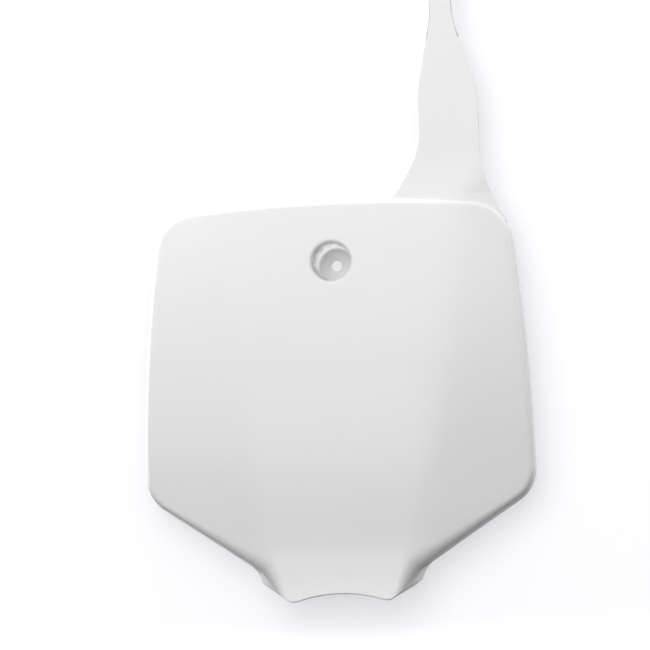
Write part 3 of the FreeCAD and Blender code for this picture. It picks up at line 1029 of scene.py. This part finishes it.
def moulded_finish():
    """Node group: slow drift of tone, fine mould grain and hairline scuffs, as masks over the surface."""
    name = "Moulded finish"
    if name in bpy.data.node_groups:
        return bpy.data.node_groups[name]
    tree, given, made = new_tree(name, "ShaderNodeTree", {"Coordinates": "Vector", "Grain Scale": "Float"},
                                 {"Tone": "Float", "Grain": "Float", "Scuffs": "Float"})
    place = given["Coordinates"]
    tone = add_node(tree, "ShaderNodeTexNoise", {"Vector": place, "Scale": 14, "Detail": 3})
    grain = add_node(tree, "ShaderNodeTexNoise", {"Vector": place, "Scale": given["Grain Scale"], "Detail": 2})
    stretch = add_node(tree, "ShaderNodeMapping", {
        "Vector": place, "Rotation": (0.0, 0.6, 0.0), "Scale": (25, 25, 900)})
    hair = add_node(tree, "ShaderNodeTexNoise", {"Vector": stretch.outputs[0], "Scale": 1.0, "Detail": 1})
    thin = add_node(tree, "ShaderNodeMapRange", {"Value": hair.outputs[0], "From Min": 0.70, "From Max": 0.80})
    for mask, node in (("Tone", tone), ("Grain", grain), ("Scuffs", thin)):
        tree.links.new(node.outputs[0], made[mask])
    return tree


def new_material(name):
    """A material and its node tree."""
    material = bpy.data.materials.new(name)
    material.use_nodes = True
    return material, material.node_tree


def plastic(name, colour, shade, smooth, rough, grain_scale, grain_height, glow_through):
    """White moulded plastic.

    Smooth and rough are the ends of its roughness, shade is its darker tone, and glow_through holds the
    share and the reach of the light that soaks through it.
    """
    material, tree = new_material(name)
    place = add_node(tree, "ShaderNodeTexCoord")
    finish = add_node(tree, "ShaderNodeGroup", {
        "Grain Scale": grain_scale, "Coordinates": place.outputs["Object"]}, node_tree=moulded_finish()).outputs
    tint = add_node(tree, "ShaderNodeMix", {
        "Factor": finish["Tone"], "A": (*colour, 1), "B": (*shade, 1)}, data_type="RGBA")
    worn = maths(tree, "MULTIPLY_ADD", finish["Scuffs"], 0.08, finish["Tone"])
    gloss = add_node(tree, "ShaderNodeMapRange", {
        "Value": worn, "From Min": 0.0, "From Max": 1.1, "To Min": smooth, "To Max": rough})
    bump = add_node(tree, "ShaderNodeBump", {"Height": finish["Grain"], "Distance": grain_height, "Strength": 0.5})
    fill(tree, tree.nodes["Principled BSDF"], {
        "Base Color": tint.outputs["Result"],
        "Roughness": gloss.outputs[0],
        "Normal": bump.outputs[0],
        "IOR": 1.49,
        "Subsurface Weight": glow_through[0],
        "Subsurface Radius": (1.0, 1.0, 1.0),
        "Subsurface Scale": glow_through[1],
    })
    return material


def plastics(colours):
    """The glossy front, the satin back and the light-filled cup of the same plastic, the cup's copy carrying
    painted light: a lighter colour than the front.
    """
    found = [bpy.data.materials.get(name) for name in ("gloss_white", "satin_white", "cup_white")]
    if all(found):
        return found
    front = plastic("gloss_white", colours.front, colours.front_shade, smooth=0.15, rough=0.19,
                    grain_scale=900, grain_height=4e-6, glow_through=(0.15, 0.002))
    back = plastic("satin_white", colours.back, colours.back_shade, smooth=0.42, rough=0.54,
                   grain_scale=1400, grain_height=1.2e-5, glow_through=(0.15, 0.002))
    # The cup's copy is painted lighter than the front: painted light that brightens the cup's wall and lip
    cup = plastic("cup_white", colours.cup, colours.cup_shade, smooth=0.24, rough=0.30,
                  grain_scale=900, grain_height=4e-6, glow_through=(0.9, 0.012))
    return front, back, cup


def any_seen(tree, path):
    """1 for rays from the camera, from reflections and through glass, 0 for light on its way to the plate."""
    total = path["Is Camera Ray"]
    for name in ("Is Glossy Ray", "Is Transmission Ray"):
        add = add_node(tree, "ShaderNodeMath", {0: total, 1: path[name]}, operation="ADD", use_clamp=True)
        total = add.outputs[0]
    return total


def stage_white(name, colour, tint, glow, bounce):
    """Matt white of the stage: it glows only to the camera and to reflections, and is clear from behind.

    Tint is the colour of that glow, and bounce the share of its own colour that it throws back on the plate.
    """
    material, tree = new_material(name)
    tree.nodes.clear()
    path = add_node(tree, "ShaderNodeLightPath").outputs
    seen = any_seen(tree, path)
    thrown_back = [c * bounce for c in colour]
    tone = add_node(tree, "ShaderNodeMix", {
        "Factor": seen, "A": (*thrown_back, 1), "B": (*colour, 1)}, data_type="RGBA")
    matt = add_node(tree, "ShaderNodeBsdfDiffuse", {"Color": tone.outputs["Result"]})
    strength = maths(tree, "MULTIPLY", seen, glow)
    lit = add_node(tree, "ShaderNodeEmission", {"Color": (*tint, 1), "Strength": strength})
    both = add_node(tree, "ShaderNodeAddShader", {0: matt.outputs[0], 1: lit.outputs[0]})

    # Clear from behind, and to a lamp's light until it has met a matt surface
    side = add_node(tree, "ShaderNodeNewGeometry")
    first = maths(tree, "LESS_THAN", path["Diffuse Depth"], 0.5)
    lets_lamp = maths(tree, "MULTIPLY", path["Is Shadow Ray"], first)
    unseen = maths(tree, "MAXIMUM", side.outputs["Backfacing"], lets_lamp)
    clear = add_node(tree, "ShaderNodeBsdfTransparent")
    mix = add_node(tree, "ShaderNodeMixShader", {0: unseen, 1: both.outputs[0], 2: clear.outputs[0]})
    add_node(tree, "ShaderNodeOutputMaterial", {"Surface": mix.outputs[0]})
    return material


# Stage

def sweep_mesh(table_y, floor_z):
    """Backdrop behind the plate and floor in front of it, joined by a round cove."""
    cove, cove_steps, half_width = 0.05, 12, 1.3
    floor_ys, backdrop_zs = (-1.6, -0.8), (0.3, 1.1)
    profile = [(y, floor_z) for y in (*floor_ys, table_y - cove)]
    profile += round_points(table_y - cove, floor_z + cove, cove, -90, 0, cove_steps)
    profile += [(table_y, z) for z in backdrop_zs]
    mesh = bmesh.new()
    rows = [[mesh.verts.new((x, y, z)) for x in (-half_width, half_width)] for y, z in profile]
    backdrop, floor = 0, 1
    for i, (a, b) in enumerate(zip(rows, rows[1:])):
        add_strip(mesh, a, b, floor if i < len(floor_ys) else backdrop)
    return mesh


# Each lamp's azimuth and elevation from straight ahead of the plate, its distance and its size
LAMPS = {
    "front": (-14, 12, 1.7, 2.0),
    "upper": (0, 38, 1.7, 2.0),
    "top": (0, 80, 1.7, 0.9),
    "left": (-105, 45, 1.7, 0.5),
    "right": (105, 45, 1.7, 0.5),
    "back": (168, 25, 1.6, 1.0),
}


def add_lamp(name, azimuth, elevation, distance, size, watts):
    """Soft round lamp that looks at the plate, placed by its angles from straight ahead of the plate."""
    light = bpy.data.lights.new(name, "AREA")
    light.shape = "DISK"
    light.size = size
    light.energy = watts
    turn, lift = math.radians(azimuth), math.radians(elevation)
    way = Vector((math.sin(turn) * math.cos(lift), -math.cos(turn) * math.cos(lift), math.sin(lift)))
    aim = Vector((0.0, -0.03, -0.06))
    lamp = add_object(name, light)
    lamp.location = aim + way * distance
    lamp.rotation_euler = (-way).to_track_quat("-Z", "Y").to_euler()


def light_world(level):
    """Even light of a plain level all round, which looks white to the camera and in reflections."""
    world = bpy.data.worlds.new("Studio")
    bpy.context.scene.world = world
    world.use_nodes = True
    tree = world.node_tree
    seen = any_seen(tree, add_node(tree, "ShaderNodeLightPath").outputs)
    strength = add_node(tree, "ShaderNodeMapRange", {"Value": seen, "To Min": level, "To Max": 1.0})
    fill(tree, tree.nodes["Background"], {"Color": (1, 1, 1, 1), "Strength": strength.outputs[0]})


def add_camera():
    """Camera a little to the right of the plate and below it, as far off as a long lens needs."""
    pixel = 0.0006
    distance = 1.8
    azimuth, elevation, roll = (math.radians(a) for a in (7.0, -5.4, 1.7))
    mouth = Vector((0, -0.028, 0))
    mouth_pixel = Vector((331.4, 262.0))
    frame_pixels = 650

    right = Vector((math.cos(azimuth), math.sin(azimuth), 0))
    view = Vector((-math.sin(azimuth) * math.cos(elevation), math.cos(azimuth) * math.cos(elevation),
                   -math.sin(elevation)))
    up = right.cross(view)
    rolled_right = right * math.cos(roll) - up * math.sin(roll)
    rolled_up = up * math.cos(roll) + right * math.sin(roll)
    place = mouth - view * distance
    off = (Vector((frame_pixels / 2, frame_pixels / 2)) - mouth_pixel) * pixel
    back = (place - (mouth + rolled_right * off.x - rolled_up * off.y)).normalized()
    side = rolled_up.cross(back).normalized()
    upright = back.cross(side)

    data = bpy.data.cameras.new("Photo view")
    data.lens = data.sensor_width * distance / (pixel * frame_pixels)
    camera = add_object("Photo view", data)
    axes = Matrix((side, upright, back)).transposed().to_4x4()
    camera.matrix_world = Matrix.Translation(place) @ axes
    bpy.context.scene.camera = camera


# Settings, operators and panel

def number(name, description, default, unit="NONE"):
    return bpy.props.FloatProperty(name=name, description=description, default=default, unit=unit)


def length(name, description, default):
    return number(name, description, default, "LENGTH")


def power(name, description, default):
    return number(name, description, default, "POWER")


def swatch(name, description, default):
    return bpy.props.FloatVectorProperty(name=name, description=description, default=default, subtype="COLOR")


def whole(name, description, default, least):
    return bpy.props.IntProperty(name=name, description=description, default=default, min=least)


class PlateSizes(bpy.types.PropertyGroup):
    wall: length("Wall", "Thickness of the moulded sheet", 0.0028)
    edge_radius: length("Edge radius", "Rounding between the face and the edge wall", 0.0045)
    fold_radius: length("Fold radius", "Widest rounding of that edge, at the end of the slants", 0.010)
    lip_radius: length("Cup lip radius", "Rounding at the mouth of the bolt cup", 0.0020)
    floor_radius: length("Cup floor radius", "Rounding between the floor and the wall of the bolt cup", 0.0025)
    rim_softness: length("Rim softness", "Rounding of the cut rims", 0.0003)
    root_hollow: length("Strap root hollow", "Softness of the hollow where the strap leaves the plate", 0.0012)
    strap_thickness: length("Strap thickness", "Thickness of the strap", 0.0026)
    strap_softness: length("Strap softness", "Rounding of the strap's edges", 0.0005)
    web_count: whole("Webs", "Webs round the bolt cup", 4, 1)
    web_reach: length("Web reach", "How far a web runs out from the cup", 0.013)
    web_thickness: length("Web thickness", "Thickness of a web", 0.0022)
    face_rows: whole("Face rows", "Rows of quads from the cup to the edge", 44, 8)
    strap_columns: whole("Strap columns", "Columns of quads across the strap", 40, 8)


class PlateColours(bpy.types.PropertyGroup):
    front: swatch("Front", "Glossy front", (0.86, 0.86, 0.86))
    front_shade: swatch("Front shade", "Darker tone of the front", (0.83, 0.83, 0.83))
    # The cup's colours are painted lighter than the front's: painted light on the cup's wall and lip
    cup: swatch("Cup", "Wall of the bolt cup", (0.93, 0.93, 0.93))
    cup_shade: swatch("Cup shade", "Darker tone of the cup", (0.91, 0.91, 0.91))
    back: swatch("Back", "Satin back", (0.84, 0.84, 0.835))
    back_shade: swatch("Back shade", "Darker tone of the back", (0.79, 0.79, 0.78))


class StageSettings(bpy.types.PropertyGroup):
    table_gap: length("Table gap", "Gap between the seat and the backdrop", 0.0015)
    floor_z: length("Floor height", "Height of the floor", -0.262)
    paper: swatch("Paper", "Floor and backdrop", (0.48, 0.485, 0.48))
    shade: swatch("Shade", "Tint that is left in the shadows", (0.955, 0.945, 1.0))
    glow: number("Glow", "What the paper adds to look white to the camera", 0.68)
    bounce: number("Bounce", "Share of its colour that the backdrop throws back on the plate", 0.12)
    floor_bounce: number("Floor bounce", "Share of its colour that the floor throws back on the plate", 0.15)
    world: number("Even light", "Light from all round", 0.456)
    front: power("Front lamp", "Power of the broad lamp to the left of the camera", 16.4)
    upper: power("Upper lamp", "Power of the broad lamp above the camera", 5.8)
    top: power("Top lamp", "Power of the lamp over the top edge", 2.7)
    left: power("Left lamp", "Power of the lamp that catches the left wall", 44)
    right: power("Right lamp", "Power of the lamp that catches the right wall", 15)
    back: power("Back lamp", "Power of the lamp behind", 14)


class PLATE_OT_shell(bpy.types.Operator):
    """Make the pan with its rolled edge, its foot and its bolt cup"""

    bl_idname = "plate.shell"
    bl_label = "Plate shell"

    def execute(self, context):
        sizes = context.scene.plate_sizes
        piece = make_piece("plate_shell", outward(shell_mesh(sizes)), plastics(context.scene.plate_colours))
        soften(piece, sizes.rim_softness, segments=2)
        declare(piece)
        return {"FINISHED"}


class PLATE_OT_strap(bpy.types.Operator):
    """Make the strap with its ramped root and its row of holes"""

    bl_idname = "plate.strap"
    bl_label = "Strap"

    def execute(self, context):
        sizes = context.scene.plate_sizes
        piece = make_piece("strap", outward(strap_mesh(sizes)), plastics(context.scene.plate_colours)[:2])
        soften(piece, sizes.strap_softness)
        declare(piece)
        return {"FINISHED"}


class PLATE_OT_button(bpy.types.Operator):
    """Make the button behind the top edge"""

    bl_idname = "plate.button"
    bl_label = "Button"

    def execute(self, context):
        profile = button_profile(context.scene.plate_sizes)
        mesh = lathe_mesh(profile, flat(BUTTON_X, TOP_Z - BUTTON_DROP), segments=48)
        declare(make_piece("button", outward(mesh), plastics(context.scene.plate_colours)[:1]))
        return {"FINISHED"}


class PLATE_OT_webs(bpy.types.Operator):
    """Make the webs that stiffen the bolt cup"""

    bl_idname = "plate.webs"
    bl_label = "Webs"

    def execute(self, context):
        sizes = context.scene.plate_sizes
        satin = plastics(context.scene.plate_colours)[1]
        piece = make_piece("cup_webs", outward(web_mesh(sizes)), [satin])
        values = {
            "Count": sizes.web_count,
            "First Angle": math.pi / 4,
            "Crown Slope": -CROWN_APEX_Z / CROWN_RADIUS,
        }
        apply_tree(piece, webs_tree(satin), values)
        declare(piece)
        return {"FINISHED"}


class PLATE_OT_stage(bpy.types.Operator):
    """Set up the backdrop, the lamps and the camera"""

    bl_idname = "plate.stage"
    bl_label = "Stage"

    def execute(self, context):
        stage = context.scene.plate_stage
        backdrop = stage_white("stage_backdrop", stage.paper, stage.shade, stage.glow, stage.bounce)
        floor = stage_white("stage_floor", stage.paper, stage.shade, stage.glow, stage.floor_bounce)
        sweep = make_piece("stage_sweep", sweep_mesh(stage.table_gap, stage.floor_z), [backdrop, floor])
        for name, (azimuth, elevation, distance, size) in LAMPS.items():
            add_lamp(name.capitalize() + " lamp", azimuth, elevation, distance, size, getattr(stage, name))
        light_world(stage.world)
        add_camera()
        context.scene.view_settings.view_transform = "Standard"
        return {"FINISHED"}


class PLATE_PT_panel(bpy.types.Panel):
    """Lists the pieces and their settings"""

    bl_idname = "PLATE_PT_panel"
    bl_label = "Front number plate"
    bl_space_type = "VIEW_3D"
    bl_region_type = "UI"
    bl_category = "Plate"

    def draw(self, context):
        layout = self.layout
        for operator in OPERATORS:
            layout.operator(operator.bl_idname)
        for group in (context.scene.plate_sizes, context.scene.plate_colours, context.scene.plate_stage):
            box = layout.box()
            for name in group.bl_rna.properties.keys():
                if name not in ("rna_type", "name"):
                    box.prop(group, name)


OPERATORS = (PLATE_OT_shell, PLATE_OT_strap, PLATE_OT_button, PLATE_OT_webs, PLATE_OT_stage)
GROUPS = {"plate_sizes": PlateSizes, "plate_colours": PlateColours, "plate_stage": StageSettings}


def register():
    for cls in (*GROUPS.values(), *OPERATORS, PLATE_PT_panel):
        bpy.utils.register_class(cls)
    for name, group in GROUPS.items():
        setattr(bpy.types.Scene, name, bpy.props.PointerProperty(type=group))


def unregister():
    for name in GROUPS:
        delattr(bpy.types.Scene, name)
    for cls in reversed((*GROUPS.values(), *OPERATORS, PLATE_PT_panel)):
        bpy.utils.unregister_class(cls)


def main():
    register()
    bpy.ops.plate.shell()
    bpy.ops.plate.strap()
    bpy.ops.plate.button()
    bpy.ops.plate.webs()
    bpy.ops.plate.stage()


if __name__ == "__main__":
    main()
